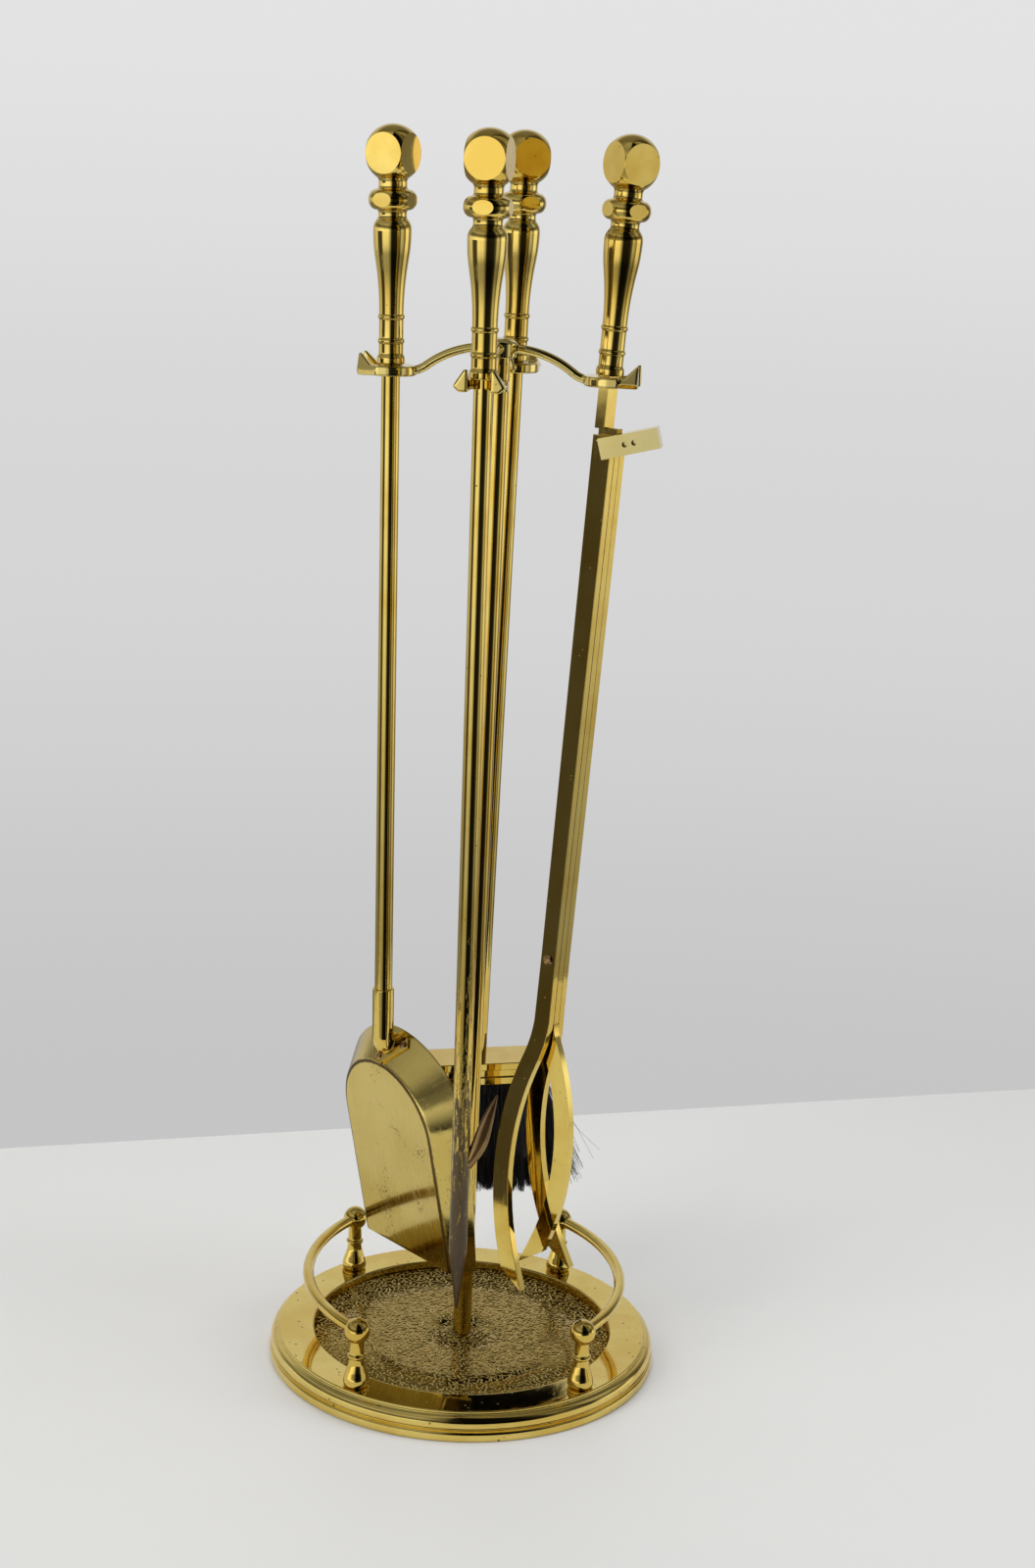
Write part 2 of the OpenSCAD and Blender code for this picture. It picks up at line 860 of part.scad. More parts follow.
// Block fixed across the tops of the two outer arms, notched round the fixed arm.
module tongs_thumb_block() {
    edge = arm_half(block_drop);
    reach = block_size[0];
    stack = 2 * outer_y + arm_t;
    color("khaki")
        arm_frame()
            difference() {
                translate([0, 0, -block_drop])
                    rotate([0, 0, block_turn])
                        rotate([0, -block_rise, 0])
                            translate([-block_left, -block_front, -block_size[2] / 2])
                                difference() {
                                    cube(block_size);
                                    for (x = [15.4, 21])
                                        translate([x, 6, block_size[2] / 2])
                                            rotate([90, 0, 0])
                                                cylinder(7, r = 1.9);
                                }
                translate([edge - 0.1 - reach, -stack / 2, -block_drop - reach])
                    cube([reach, stack, 2 * reach]);
                translate([edge + 0.45 - reach, -arm_t / 2 - side_gap, -block_drop - reach])
                    cube([reach, arm_t + 2 * side_gap, 2 * reach]);
            }
}

module tongs_pivot_rivet() {
    face_y = outer_y + arm_t / 2 + side_gap;
    color("peru")
        arm_frame()
            translate([0, 0, -pivot_z])
                rotate([90, 0, 0]) {
                    cylinder(2 * face_y + 2 * eps, r = pivot_r, center = true);
                    for (side = [0, 1])
                        mirror([0, 0, side])
                            translate([0, 0, face_y])
                                rivet_dome(3.4);
                }
}

// ---------------------------------------------------------------- which nodes are shown

base_plate();
base_panel();
column();
column_washer();
column_nut();
hook_bracket();
bracket_screw();
post_front_left();
post_front_right();
post_rear_left();
post_rear_right();
post_screws();
rail_left();
rail_right();
shovel_handle();
shovel_shaft();
shovel_socket();
shovel_pan();
shovel_rivets();
poker_handle();
poker_shaft();
poker_barb();
brush_handle();
brush_shaft();
brush_cap();
brush_block();
brush_bristles();
tongs_handle();
tongs_fixed_arm();
tongs_front_arm();
tongs_rear_arm();
tongs_thumb_block();
tongs_pivot_rivet();
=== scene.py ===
import math
import random

import bmesh
import bpy
from mathutils import Matrix, Vector, noise


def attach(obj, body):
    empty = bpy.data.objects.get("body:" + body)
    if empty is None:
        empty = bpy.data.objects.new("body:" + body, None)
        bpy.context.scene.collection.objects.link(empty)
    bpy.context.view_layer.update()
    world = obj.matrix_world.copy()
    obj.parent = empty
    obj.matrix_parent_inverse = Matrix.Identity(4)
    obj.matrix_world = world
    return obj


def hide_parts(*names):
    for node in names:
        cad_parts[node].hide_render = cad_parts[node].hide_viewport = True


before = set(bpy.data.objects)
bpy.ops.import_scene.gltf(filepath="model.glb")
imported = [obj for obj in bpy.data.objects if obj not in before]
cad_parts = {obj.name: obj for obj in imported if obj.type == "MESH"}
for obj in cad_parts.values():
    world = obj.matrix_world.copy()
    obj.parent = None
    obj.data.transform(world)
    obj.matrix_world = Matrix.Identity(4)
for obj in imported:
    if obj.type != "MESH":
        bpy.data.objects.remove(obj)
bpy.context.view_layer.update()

MM = 0.001

# Where the tools hang, in millimetres and degrees: distance from the column, height of the
# collars' underside, turn of each arm, sideways lean of each tool and turn of its handle's flats.
HANG_R = 64.5
HANG_Z = 624.5
ARM = {"tongs": -11.6, "brush": 78.4, "shovel": 168.4, "poker": 258.4}
LEAN = {"shovel": -1.0, "poker": -0.5, "brush": 0.7, "tongs": 3.1}
FLAT_TURN = {"shovel": -31.2, "poker": -17.4, "brush": 18.0, "tongs": 25.8}


# Turn of the shovel and the brush about their own axes, and how far below the collar their parts start.
SHOVEL_YAW, PAN_DROP = -54.3, 477.5
BRUSH_YAW, BRISTLE_DROP = 11.0, 463.0
POKER_LONG, BARB_UP = 565.5, 96.0


def hanging(tool, yaw):
    """Frame of a hanging tool, in millimetres.

    Its origin is the middle of the collar's underside and +Z runs up the tool.
    """
    arm = math.radians(ARM[tool])
    spot = Vector((HANG_R * math.cos(arm), HANG_R * math.sin(arm), HANG_Z))
    lean = Matrix.Rotation(math.radians(LEAN[tool]), 4, "Y")
    return Matrix.Translation(spot) @ lean @ Matrix.Rotation(math.radians(yaw), 4, "Z")


# ---------------------------------------------------------------- materials


class Paint:
    """A node material under construction, in object coordinates (metres)."""

    def __init__(self, name, metallic, **sockets):
        self.material = bpy.data.materials.new(name)
        self.material.use_nodes = True
        self.tree = self.material.node_tree
        self.shader = self.tree.nodes["Principled BSDF"]
        self.shader.inputs["Metallic"].default_value = metallic
        for key, value in sockets.items():
            self.shader.inputs[key.replace("_", " ")].default_value = value
        self.where = self.tree.nodes.new("ShaderNodeTexCoord").outputs["Object"]

    def put(self, kind, settings=None, **links):
        node = self.tree.nodes.new("ShaderNode" + kind)
        for key, value in (settings or {}).items():
            setattr(node, key, value)
        for key, value in links.items():
            self.feed(node.inputs[key.replace("_", " ")], value)
        return node

    def feed(self, socket, value):
        if isinstance(value, bpy.types.NodeSocket):
            self.tree.links.new(value, socket)
        else:
            socket.default_value = value

    def stretched(self, scale, turn=(0.0, 0.0, 0.0)):
        return self.put("Mapping", Vector=self.where, Scale=scale, Rotation=turn).outputs["Vector"]

    def noise(self, scale, detail=3.0, rough=0.55, warp=0.0, vector=None):
        where = vector or self.where
        node = self.put("TexNoise", Vector=where, Scale=scale, Detail=detail, Roughness=rough, Distortion=warp)
        return node.outputs["Fac"]

    def cells(self, scale, vector=None):
        return self.put("TexVoronoi", Vector=vector or self.where, Scale=scale).outputs["Distance"]

    def span(self, value, low, high, to_low=0.0, to_high=1.0):
        node = self.tree.nodes.new("ShaderNodeMapRange")
        node.interpolation_type = "SMOOTHSTEP"
        for index, number in enumerate((value, low, high, to_low, to_high)):
            self.feed(node.inputs[index], number)
        return node.outputs["Result"]

    def maths(self, operation, first, second=0.0):
        node = self.tree.nodes.new("ShaderNodeMath")
        node.operation = operation
        self.feed(node.inputs[0], first)
        self.feed(node.inputs[1], second)
        return node.outputs["Value"]

    def mix(self, share, first, second):
        node = self.tree.nodes.new("ShaderNodeMix")
        node.data_type = "RGBA"
        self.feed(node.inputs["Factor"], share)
        for socket, value in ((node.inputs[6], first), (node.inputs[7], second)):
            self.feed(socket, value if isinstance(value, bpy.types.NodeSocket) else (*value, 1.0))
        return node.outputs[2]

    def height(self):
        split = self.put("SeparateXYZ", Vector=self.where)
        return split.outputs["Z"]

    def colour(self, value):
        self.feed(self.shader.inputs["Base Color"], value)

    def rough(self, value):
        self.feed(self.shader.inputs["Roughness"], value)

    def bumps(self, *layers):
        """Each layer is (height, depth in metres)."""
        normal = None
        for height, depth in layers:
            node = self.put("Bump", Height=height, Distance=depth)
            if normal:
                self.feed(node.inputs["Normal"], normal)
            normal = node.outputs["Normal"]
        self.feed(self.shader.inputs["Normal"], normal)


GOLD = (0.82, 0.62, 0.16)
DEEP_GOLD = (0.71, 0.48, 0.085)
PALE_GOLD = (0.86, 0.70, 0.24)
TARNISH = (0.075, 0.040, 0.016)


def brass(name, light, deep, rough, pits):
    """Lacquered brass: patchy tone, fine scratches, tiny tarnish pits and a slightly uneven surface."""
    paint = Paint(name, 1.0)
    paint.shader.inputs["Coat Weight"].default_value = 0.12
    paint.shader.inputs["Coat Roughness"].default_value = 0.08
    tone = paint.span(paint.noise(24.0, 4.0, 0.6), 0.35, 0.68)
    lines = paint.noise(55.0, 5.0, 0.75, vector=paint.stretched((9.0, 9.0, 0.6)))
    grain = paint.noise(900.0, 3.0, 0.7)
    bent = paint.noise(700.0, 3.0, 0.7)
    ragged = paint.maths("ADD", paint.cells(230.0), paint.maths("MULTIPLY", bent, 0.16))
    dots = paint.span(ragged, pits + 0.06, pits)
    spots = paint.maths("MULTIPLY", dots, paint.span(paint.noise(60.0, 4.0, 0.7), 0.50, 0.60))
    plain = paint.mix(tone, light, deep)
    paint.colour(paint.mix(paint.maths("MULTIPLY", spots, 0.85), plain, TARNISH))
    rubbed = paint.span(lines, 0.45, 0.8, rough * 0.6, rough * 1.5)
    worn = paint.maths("ADD", rubbed, paint.maths("MULTIPLY", spots, 0.3))
    paint.rough(paint.maths("ADD", worn, paint.span(grain, 0.3, 0.8, 0.0, 0.02)))
    paint.bumps((paint.noise(38.0, 2.0), 0.00005), (spots, -0.00005))
    return paint


def make_materials():
    """Every finish, by the name that the builders use."""
    made = {}
    made["polished"] = brass("polished_brass", GOLD, DEEP_GOLD, 0.055, 0.12).material
    made["bright"] = brass("bright_brass", PALE_GOLD, GOLD, 0.09, 0.14).material

    made["satin"] = brass("satin_brass", (0.85, 0.66, 0.19), (0.76, 0.54, 0.12), 0.075, 0.21).material

    paint = Paint("hammered_brass", 1.0)
    lift = paint.span(paint.height(), 0.01232, 0.01274)
    dust = paint.span(paint.noise(30.0, 4.0), 0.35, 0.7)
    top = paint.mix(dust, (0.96, 0.79, 0.29), (0.86, 0.65, 0.18))
    paint.colour(paint.mix(lift, (0.40, 0.265, 0.055), top))
    paint.rough(paint.span(paint.noise(150.0), 0.3, 0.7, 0.10, 0.20))
    paint.bumps((paint.noise(900.0), 0.00002))
    made["hammered"] = paint.material

    paint = Paint("sheet_brass", 1.0)
    wear = paint.put("Attribute", {"attribute_name": "wear"}).outputs["Fac"]
    lip = paint.put("Attribute", {"attribute_name": "lip"}).outputs["Fac"]
    tone = paint.span(paint.noise(16.0, 3.0, 0.5), 0.35, 0.7)
    slant = paint.noise(60.0, 6.0, 0.8, vector=paint.stretched((1.0, 14.0, 1.2), (0.5, 0.3, 0.9)))
    marks = paint.span(slant, 0.54, 0.66)
    rag = paint.maths("MULTIPLY", paint.maths("SUBTRACT", paint.noise(420.0, 5.0, 0.8), 0.5), 1.1)
    line = paint.span(paint.maths("ADD", wear, rag), 0.42, 0.80)
    fleck = paint.span(paint.maths("MULTIPLY", paint.noise(650.0, 3.0, 0.7), paint.noise(45.0)), 0.37, 0.40)
    drawn = paint.noise(90.0, 5.0, 0.8, vector=paint.stretched((1.5, 12.0, 1.5), (0.5, 0.3, 0.9)))
    streaks = paint.span(drawn, 0.57, 0.72)
    stain = paint.maths("MAXIMUM", paint.maths("MULTIPLY", line, 0.92), paint.maths("MULTIPLY", fleck, 0.75))
    stain = paint.maths("MAXIMUM", stain, paint.maths("MULTIPLY", streaks, 0.42))
    plain = paint.mix(tone, (0.72, 0.56, 0.165), (0.64, 0.48, 0.12))
    plain = paint.mix(paint.maths("MULTIPLY", lip, 0.55), plain, (0.52, 0.35, 0.03))
    scored = paint.mix(paint.maths("MULTIPLY", marks, 0.45), plain, (0.86, 0.72, 0.33))
    paint.colour(paint.mix(stain, scored, (0.10, 0.055, 0.02)))
    gloss = paint.span(slant, 0.4, 0.75, 0.09, 0.22)
    paint.rough(paint.maths("ADD", gloss, paint.maths("MULTIPLY", stain, 0.3)))
    paint.bumps((paint.noise(20.0, 2.0), 0.0003), (marks, -0.00001), (line, -0.00006))
    paint.shader.inputs["Coat Weight"].default_value = 0.1
    made["sheet"] = paint.material

    paint = brass("tarnished_brass", GOLD, DEEP_GOLD, 0.09, 0.18)
    high = paint.height()
    burnt = paint.span(high, 0.17, 0.08)
    specks = paint.noise(420.0, 6.0, 0.85, vector=paint.stretched((1.0, 1.0, 0.14)))
    reach = paint.span(high, 0.34, 0.075, -0.085, 0.20)
    pits = paint.span(paint.maths("ADD", specks, reach), 0.55, 0.62)
    pits = paint.maths("MULTIPLY", pits, paint.span(high, 0.36, 0.28, 0.0, 0.9))
    heat = paint.mix(paint.span(paint.noise(70.0, 3.0), 0.3, 0.7), (0.26, 0.11, 0.022), (0.56, 0.33, 0.07))
    warm = paint.maths("MULTIPLY", burnt, 0.7)
    plain = paint.shader.inputs["Base Color"].links[0].from_socket
    paint.colour(paint.mix(pits, paint.mix(warm, plain, heat), (0.022, 0.009, 0.006)))
    gloss = paint.shader.inputs["Roughness"].links[0].from_socket
    paint.rough(paint.maths("ADD", gloss, paint.maths("MULTIPLY", pits, 0.22)))
    paint.feed(paint.shader.inputs["Metallic"], paint.span(pits, 0.0, 1.0, 1.0, 0.2))
    paint.bumps((paint.noise(38.0, 2.0), 0.00006), (pits, -0.00005))
    made["tarnished"] = paint.material

    paint = brass("burnt_brass", (0.30, 0.18, 0.06), (0.09, 0.045, 0.018), 0.11, 0.22)
    paint.shader.inputs["Metallic"].default_value = 0.7
    made["burnt"] = paint.material
    made["milled"] = brass("milled_brass", (0.93, 0.79, 0.34), (0.89, 0.72, 0.25), 0.15, 0.12).material

    paint = Paint("dull_bronze", 1.0)
    cloud = paint.span(paint.noise(160.0, 4.0), 0.3, 0.7)
    paint.colour(paint.mix(cloud, (0.46, 0.31, 0.13), (0.24, 0.13, 0.06)))
    paint.rough(paint.span(cloud, 0.0, 1.0, 0.16, 0.34))
    paint.bumps((paint.noise(420.0, 4.0), 0.00008))
    made["bronze"] = paint.material

    paint = Paint("zinc_steel", 1.0)
    cloud = paint.span(paint.noise(300.0, 4.0), 0.3, 0.7)
    paint.colour(paint.mix(cloud, (0.62, 0.62, 0.60), (0.44, 0.45, 0.46)))
    paint.rough(paint.span(cloud, 0.0, 1.0, 0.22, 0.38))
    paint.bumps((paint.noise(800.0, 3.0), 0.00002))
    made["steel"] = paint.material

    paint = Paint("beech", 0.0)
    grain = paint.noise(40.0, 5.0, 0.6, 0.6, vector=paint.stretched((1.0, 8.0, 8.0)))
    paint.colour(paint.mix(paint.span(grain, 0.35, 0.65), (0.42, 0.26, 0.13), (0.27, 0.15, 0.07)))
    paint.rough(paint.span(grain, 0.3, 0.7, 0.5, 0.7))
    paint.bumps((grain, 0.0002))
    made["wood"] = paint.material

    paint = Paint("bristle", 0.0, Specular_IOR_Level=0.5)
    strand = paint.noise(260.0, 3.0, vector=paint.stretched((3.0, 3.0, 0.25)))
    paint.colour(paint.mix(paint.span(strand, 0.35, 0.7), (0.002, 0.002, 0.004), (0.010, 0.012, 0.021)))
    paint.rough(paint.span(strand, 0.3, 0.7, 0.28, 0.5))
    paint.bumps((strand, 0.00005))
    made["bristle"] = paint.material
    return made


# ---------------------------------------------------------------- shapes


def new_piece(name, verts, faces, place=Matrix(), smooth=True):
    """A mesh object from millimetres in the frame `place`, in metres in the shared frame."""
    mesh = bpy.data.meshes.new(name)
    mesh.from_pydata([place @ Vector(v) * MM for v in verts], [], faces)
    mesh.validate()
    work = bmesh.new()
    work.from_mesh(mesh)
    bmesh.ops.recalc_face_normals(work, faces=work.faces)
    work.to_mesh(mesh)
    work.free()
    for face in mesh.polygons:
        face.use_smooth = smooth
    piece = bpy.data.objects.new(name, mesh)
    bpy.context.scene.collection.objects.link(piece)
    return piece


def finish_piece(piece, nodes, body, material):
    piece.data.materials.clear()
    piece.data.materials.append(material)
    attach(piece, body)
    if nodes:
        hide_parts(*nodes)
    return piece


def rounded(profile, reach, steps=4):
    """The profile with each inner corner eased by a short curve."""
    out = [profile[0]]
    for before, here, after in zip(profile, profile[1:], profile[2:]):
        b, h, a = (Vector((*p, 0.0)) for p in (before, here, after))
        start = h + (b - h).normalized() * min(reach, (b - h).length * 0.45)
        end = h + (a - h).normalized() * min(reach, (a - h).length * 0.45)
        for i in range(steps + 1):
            t = i / steps
            p = start * (1 - t) ** 2 + h * 2 * t * (1 - t) + end * t**2
            out.append((p.x, p.y))
    out.append(profile[-1])
    return out


def curved(points, steps=6):
    """A smooth curve through the points."""
    spots = [Vector(p) for p in (points[0], *points, points[-1])]
    out = []
    for a, b, c, d in zip(spots, spots[1:], spots[2:], spots[3:]):
        for i in range(steps):
            t = i / steps
            square, cube = 2 * a - 5 * b + 4 * c - d, 3 * b - a - 3 * c + d
            p = 0.5 * (2 * b + (c - a) * t + square * t**2 + cube * t**3)
            out.append((p.x, p.y))
    return out + [points[-1]]


def ball(radius, middle, neck):
    """Profile of a ball above a neck of that radius, up to its pole."""
    steps = 40
    start = -math.acos(neck / radius)
    turns = (start + (math.pi / 2 - start) * i / steps for i in range(1, steps + 1))
    return [(max(radius * math.cos(t), 0.0), middle + radius * math.sin(t)) for t in turns]


def cut_ball(radius, middle, neck, flat):
    """Profile of a ball whose rings are spaced to draw the round outline of flats that far from its axis."""
    reach = math.sqrt(radius**2 - flat**2)
    low = -math.acos(neck / radius)
    edge = math.asin(reach / radius)
    heights = [radius * math.sin(low + (-edge - low) * i / 8) for i in range(1, 8)]
    heights += [reach * math.sin(math.radians(turn)) for turn in range(-90, 91, 5)]
    heights += [radius * math.sin(edge + (math.pi / 2 - edge) * i / 18) for i in range(1, 19)]
    return [(math.sqrt(max(radius**2 - h * h, 0.0)), middle + h) for h in heights]


def faceted(name, profile, place, flat_at):
    """A lathe shape with four flats cut on it; flat_at(z) gives their distance from the axis, or None."""
    across, between = 16, 26
    verts, faces = [], []
    for radius, z in profile:
        flat = flat_at(z)
        half = math.acos(flat / radius) if flat and radius > flat else 0.0
        for quarter in range(4):
            centre = math.pi / 2 * quarter
            for i in range(across):
                turn = half * (2 * i / across - 1)
                r = flat / math.cos(turn) if half else radius
                verts.append((r * math.cos(centre + turn), r * math.sin(centre + turn), z))
            for i in range(between):
                turn = centre + half + (math.pi / 2 - 2 * half) * i / between
                verts.append((radius * math.cos(turn), radius * math.sin(turn), z))
    around = 4 * (across + between)
    for ring in range(len(profile) - 1):
        a, b = ring * around, (ring + 1) * around
        for i in range(around):
            j = (i + 1) % around
            faces.append((a + i, a + j, b + j, b + i))
    faces.append(tuple(reversed(range(around))))
    faces.append(tuple(range((len(profile) - 1) * around, len(profile) * around)))
    piece = new_piece(name, verts, faces, place)
    work = bmesh.new()
    work.from_mesh(piece.data)
    bmesh.ops.remove_doubles(work, verts=work.verts, dist=2e-6)
    work.to_mesh(piece.data)
    work.free()
    soften(piece, 0.22, 2, 22)
    return piece


def turned(name, profile, place):
    """A lathe shape."""
    around = 96
    verts, faces = [], []
    for radius, z in profile:
        for i in range(around):
            turn = 2 * math.pi * i / around
            verts.append((radius * math.cos(turn), radius * math.sin(turn), z))
    for ring in range(len(profile) - 1):
        for i in range(around):
            j = (i + 1) % around
            a, b = ring * around, (ring + 1) * around
            faces.append((a + i, a + j, b + j, b + i))
    faces.append(tuple(reversed(range(around))))
    faces.append(tuple(range((len(profile) - 1) * around, len(profile) * around)))
    return new_piece(name, verts, faces, place)


def swept(name, stations, place, sides, power):
    """A bar through stations (middle, wide direction, half width, half thickness).

    Its thickness lies along Y, and a power over 2 squares its section.
    """
    verts, faces = [], []
    for middle, wide, half_wide, half_thick in stations:
        for i in range(sides):
            turn = 2 * math.pi * i / sides
            c, s = math.cos(turn), math.sin(turn)
            along = math.copysign(abs(c) ** (2 / power), c) * half_wide
            thick = math.copysign(abs(s) ** (2 / power), s) * half_thick
            verts.append((middle[0] + wide[0] * along, thick, middle[1] + wide[1] * along))
    for ring in range(len(stations) - 1):
        for i in range(sides):
            j = (i + 1) % sides
            a, b = ring * sides, (ring + 1) * sides
            faces.append((a + i, a + j, b + j, b + i))
    faces.append(tuple(reversed(range(sides))))
    faces.append(tuple(range((len(stations) - 1) * sides, len(stations) * sides)))
    return new_piece(name, verts, faces, place)


def cad_copy(node, name, merge=True):
    """The CAD node's own shape as a new piece, with its split corners joined and its flat faces merged."""
    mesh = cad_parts[node].data.copy()
    mesh.name = name
    stored = mesh.attributes.get("custom_normal")
    if stored:
        mesh.attributes.remove(stored)
    work = bmesh.new()
    work.from_mesh(mesh)
    bmesh.ops.remove_doubles(work, verts=work.verts, dist=2e-6)
    if merge:
        bmesh.ops.dissolve_limit(work, angle_limit=math.radians(0.4), verts=work.verts, edges=work.edges)
    work.to_mesh(mesh)
    work.free()
    piece = bpy.data.objects.new(name, mesh)
    bpy.context.scene.collection.objects.link(piece)
    return piece


def crisp(node, name):
    """The CAD shape with smooth round walls that keep their sharp rims."""
    piece = cad_copy(node, name, merge=False)
    for face in piece.data.polygons:
        face.use_smooth = True
    piece.data.set_sharp_from_angle(angle=math.radians(35))
    return piece


def soften(piece, width, segments, angle):
    """Eases the sharp edges of a piece."""
    for face in piece.data.polygons:
        face.use_smooth = True
    bevel = piece.modifiers.new("eased", "BEVEL")
    bevel.width = width * MM
    bevel.segments = segments
    bevel.limit_method = "ANGLE"
    bevel.angle_limit = math.radians(angle)
    bevel.harden_normals = True


def eased(node, name, width, segments=3):
    """The CAD shape with its sharp edges eased, for flat bars and pressed sheet."""
    piece = cad_copy(node, name)
    soften(piece, width, segments, 25)
    return piece


def cast(node, name, voxel, passes, place):
    """The CAD shape with soft edges and filled corners, as a casting has.

    The remesh is done in the frame `place`, so its grid lies along the casting.
    """
    piece = cad_copy(node, name)
    frame_there = place.copy()
    frame_there.translation *= MM
    piece.data.transform(frame_there.inverted())
    remesh = piece.modifiers.new("cast", "REMESH")
    remesh.mode = "VOXEL"
    remesh.voxel_size = voxel * MM
    remesh.use_smooth_shade = True
    smooth = piece.modifiers.new("soft", "SMOOTH")
    smooth.factor = 0.5
    smooth.iterations = passes
    mesh = bpy.data.meshes.new_from_object(piece.evaluated_get(bpy.context.evaluated_depsgraph_get()))
    piece.modifiers.clear()
    piece.data = mesh
    mesh.transform(frame_there)
    for face in mesh.polygons:
        face.use_smooth = True
    return piece


# ---------------------------------------------------------------- stand


def build_base(paints):
    """The pressed round base: a low band, a groove, a roll, a bead and a flat rim plate."""
    rim = 122.36
    edge = [
        (rim - 0.6, 0.0), (rim, 0.8), (rim, 4.6), (rim - 0.7, 5.8), (rim - 2.4, 6.2), (rim - 2.5, 7.2),
        (rim - 1.2, 7.9), (rim - 0.6, 9.8), (rim - 0.8, 11.8), (rim - 1.7, 13.6), (rim - 3.0, 14.8),
        (rim - 4.7, 15.4), (rim - 4.7, 16.0), (117.0, 16.2), (117.0, 17.2), (116.4, 17.5),
    ]
    outer = rounded(edge, 0.8, 5)
    section = [(4.0, 8.4), (107.7, 8.4), (108.0, 8.1), (108.0, 0.2), (108.3, 0.0), *outer]
    section += rounded([(116.0, 17.5), (95.2, 17.5), (94.5, 16.9), (94.5, 11.6)], 0.5)
    section += [(94.5, 11.45), (4.0, 11.45)]
    verts, faces, around = [], [], 288
    for radius, z in section:
        for i in range(around):
            turn = 2 * math.pi * i / around
            verts.append((radius * math.cos(turn), radius * math.sin(turn), z))
    for ring in range(len(section)):
        a, b = ring * around, (ring + 1) % len(section) * around
        for i in range(around):
            j = (i + 1) % around
            faces.append((a + i, a + j, b + j, b + i))
    piece = new_piece("base_plate_moulded", verts, faces)
    finish_piece(piece, ["base_plate"], "stand", paints["satin"])


def build_panel(paints):
    """Sunk panel with a relief of short, slightly bent ridges that lie every way."""
    ground, top, under, inner, outer = 12.30, 12.90, 11.4, 4.0, 94.5
    rings = [(inner, ground), (30.0, ground), (60.0, ground), (outer, ground), (outer, under), (inner, under)]
    around = 128
    verts = [
        (r * math.cos(2 * math.pi * i / around), r * math.sin(2 * math.pi * i / around), z)
        for r, z in rings for i in range(around)
    ]
    faces = []
    for ring in range(len(rings)):
        a, b = ring * around, (ring + 1) % len(rings) * around
        for i in range(around):
            j = (i + 1) % around
            faces.append((a + i, a + j, b + j, b + i))
    rng = random.Random(3)
    gap, spots = 2.05, {}
    for _ in range(24000):
        r, turn = (outer - 1.4) * math.sqrt(rng.random()), rng.uniform(0, 2 * math.pi)
        x, y = r * math.cos(turn), r * math.sin(turn)
        if r < 7.0:
            continue
        cell = (math.floor(x / gap), math.floor(y / gap))
        near = [spots.get((cell[0] + i, cell[1] + j)) for i in (-1, 0, 1) for j in (-1, 0, 1)]
        if all(p is None or (p[0] - x) ** 2 + (p[1] - y) ** 2 > gap * gap for p in near):
            spots[cell] = (x, y)
    section = [(-1.0, 0.0), (-0.62, 0.72), (0.0, 1.0), (0.62, 0.72), (1.0, 0.0)]
    steps = 5
    for x, y in spots.values():
        way, bend = rng.uniform(0, math.pi), rng.uniform(-0.35, 0.35)
        long, wide = rng.uniform(1.4, 2.5), rng.uniform(0.52, 0.74)
        high = rng.uniform(0.75, 1.0) * (top - ground)
        base = len(verts)
        for i in range(steps):
            t = 2 * i / (steps - 1) - 1
            narrow = (1 - t**4) ** 0.5 * 0.96 + 0.04
            cx = x + math.cos(way) * long * t - math.sin(way) * bend * (1 - t * t) * long
            cy = y + math.sin(way) * long * t + math.cos(way) * bend * (1 - t * t) * long
            for side, rise in section:
                px, py = cx - math.sin(way) * side * wide * narrow, cy + math.cos(way) * side * wide * narrow
                verts.append((px, py, ground - 0.04 + rise * high * narrow))
        count = len(section)
        for i in range(steps - 1):
            for j in range(count - 1):
                a = base + i * count + j
                faces.append((a, a + 1, a + count + 1, a + count))
    piece = new_piece("base_panel_relief", verts, faces)
    finish_piece(piece, ["base_panel"], "stand", paints["hammered"])


def build_posts(paints):
    """Four turned posts with ball tops."""
    turned_part = [
        (0.0, 0.0), (6.6, 0.0), (7.8, 1.0), (8.1, 3.0), (7.6, 5.6), (6.3, 9.6), (5.0, 14.0), (4.5, 17.2),
        (4.7, 18.2), (5.7, 18.8), (5.7, 20.2), (4.7, 20.8), (4.5, 22.0), (4.5, 29.0),
    ]
    profile = rounded(turned_part, 0.7) + ball(7.8, 35.7, 4.5)
    for name, x, y in (
        ("front_left", -68.5, -83.0), ("front_right", 68.5, -83.0),
        ("rear_left", -68.5, 83.0), ("rear_right", 68.5, 83.0),
    ):
        piece = turned("turned_post_" + name, profile, Matrix.Translation((x, y, 17.5)))
        finish_piece(piece, ["post_" + name], "stand", paints["polished"])


def build_bracket(paints):
    """The cast hub with its four forked arms."""
    place = Matrix.Rotation(math.radians(ARM["tongs"]), 4, "Z")
    piece = cast("hook_bracket", "hook_bracket_cast", 0.35, 30, place)
    finish_piece(piece, ["hook_bracket"], "stand", paints["bright"])


# ---------------------------------------------------------------- tools


# Handle, in millimetres above the collar's underside: its ball, its knop, and the distance of their flats.
BALL_R, BALL_Z, BALL_FLAT = 16.6, 120.1, 11.8
KNOP_R, KNOP_Z, KNOP_FLAT = 14.2, 94.0, 12.9
NECK_R = 8.3


def handle_flats(z):
    """Distance of the flats from the handle's axis at that height, or None where it is round."""
    if z > 104.0:
        return BALL_FLAT
    return KNOP_FLAT if z > 86.0 else None


